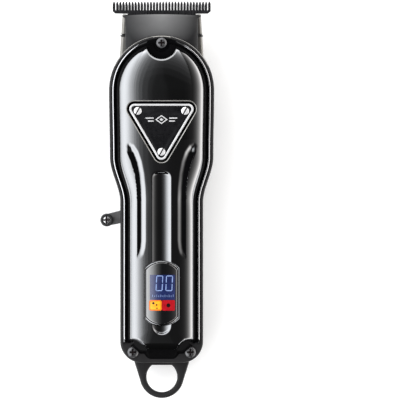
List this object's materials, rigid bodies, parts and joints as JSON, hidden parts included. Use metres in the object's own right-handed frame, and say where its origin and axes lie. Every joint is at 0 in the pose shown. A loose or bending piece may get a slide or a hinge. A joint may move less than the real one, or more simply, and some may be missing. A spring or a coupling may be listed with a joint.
{
  "type": "hair clipper",
  "caption": "Cordless hair clipper with a T-shaped blade, a glossy fluted front cover, a side gap lever, a pressable display and a hanging loop.",
  "frame": {"origin": "on the flat back that the clipper lies on, on the centre plane, half-way along the body", "axes": "+Z out of the front face, +Y towards the blade, +X to the right seen from the front"},
  "size_m": [0.0479, 0.1669, 0.0355],
  "materials": {
    "matte_shell": "matte moulded plastic with a fine texture",
    "black_chrome": "glossy black chrome",
    "satin_hood": "satin black",
    "badge_black": "satin black enamel",
    "polished_steel": "polished",
    "black_fastener": "black nickel plated",
    "black_blade": "black coated steel",
    "ground_steel": "ground",
    "nickel": "satin nickel plated",
    "lever_steel": "grey coated steel",
    "smoked_lens": "polished smoked acrylic",
    "display_face": "display glass",
    "black_moulding": "black moulded plastic",
    "circuit_board": "green solder mask",
    "battery_wrap": "shrink wrapped cell",
    "white_nylon": "white acetal",
    "brass": "machined",
    "winding": "copper winding on a laminated core",
    "magnet": "ferrite",
    "spring_steel": "spring steel",
    "red_insulation": "silicone insulation",
    "black_insulation": "silicone insulation"
  },
  "bodies": {
    "housing": {"rear_housing": "matte_shell", "front_frame": "matte_shell", "front_cover": "black_chrome", "top_screw": "black_fastener", "bottom_screw_left": "black_fastener", "bottom_screw_right": "black_fastener", "badge_plate": "badge_black", "badge_frame": "polished_steel", "badge_screw_left": "polished_steel", "badge_screw_right": "polished_steel", "badge_screw_bottom": "polished_steel", "display_bezel": "polished_steel", "display_module": "display_face", "main_board": "circuit_board", "control_chip": "black_moulding", "power_switch": "black_moulding", "charge_board": "circuit_board", "charge_socket": "ground_steel", "battery_cell": "battery_wrap", "battery_tab_positive": "nickel", "battery_tab_negative": "nickel", "battery_cradle": "white_nylon", "motor_can": "ground_steel", "motor_rear_bell": "black_moulding", "motor_bushing": "brass", "motor_bracket": "ground_steel", "motor_magnet_left": "magnet", "motor_magnet_right": "magnet", "motor_screw_left": "spring_steel", "motor_screw_right": "spring_steel", "neck_frame": "nickel", "neck_seal": "black_moulding", "blade_holder": "nickel", "hood": "satin_hood", "fixed_blade": "black_blade", "blade_screw_left": "spring_steel", "blade_screw_right": "spring_steel", "lever_pivot_pin": "spring_steel", "motor_wire_red": "red_insulation", "motor_wire_black": "black_insulation", "battery_wire_red": "red_insulation", "battery_wire_black": "black_insulation", "charge_wire_red": "red_insulation", "charge_wire_black": "black_insulation"},
    "gap_lever": {"lever_arm": "lever_steel", "lever_knob": "black_moulding", "lever_knob_screw": "polished_steel"},
    "carriage": {"adjuster_rod": "spring_steel", "cutter_carriage": "white_nylon", "tension_spring": "spring_steel"},
    "cutter": {"cutter_blade": "ground_steel", "cutter_carrier": "white_nylon"},
    "rotor": {"motor_shaft": "spring_steel", "motor_armature": "winding", "eccentric": "white_nylon", "drive_bearing": "spring_steel"},
    "display_button": {"display_lens": "smoked_lens"}
  },
  "joints": [
    {"name": "lever_swing", "type": "hinge", "parent": "housing", "child": "gap_lever", "pos_m": [-0.0099, -0.0054, 0.018], "axis": [0, 0, -1], "range_deg": [0, 20]},
    {"name": "blade_gap", "type": "slide", "parent": "housing", "child": "carriage", "axis": [0, 1, 0], "range_m": [0, 0.00091]},
    {"name": "cutter_stroke", "type": "slide", "parent": "carriage", "child": "cutter", "axis": [1, 0, 0], "range_m": [-0.001, 0.001]},
    {"name": "motor_spin", "type": "hinge", "parent": "housing", "child": "rotor", "pos_m": [0, 0.05, 0.017], "axis": [0, 1, 0], "continuous": true},
    {"name": "power_button", "type": "slide", "parent": "housing", "child": "display_button", "axis": [0, 0, -1], "range_m": [0, 0.0005], "stiffness_N_per_m": 1500, "springref_m": -0.0003}
  ],
  "couplings": [
    {"joint": "blade_gap", "follows": "lever_swing", "m_per_rad": 0.002587}
  ]
}
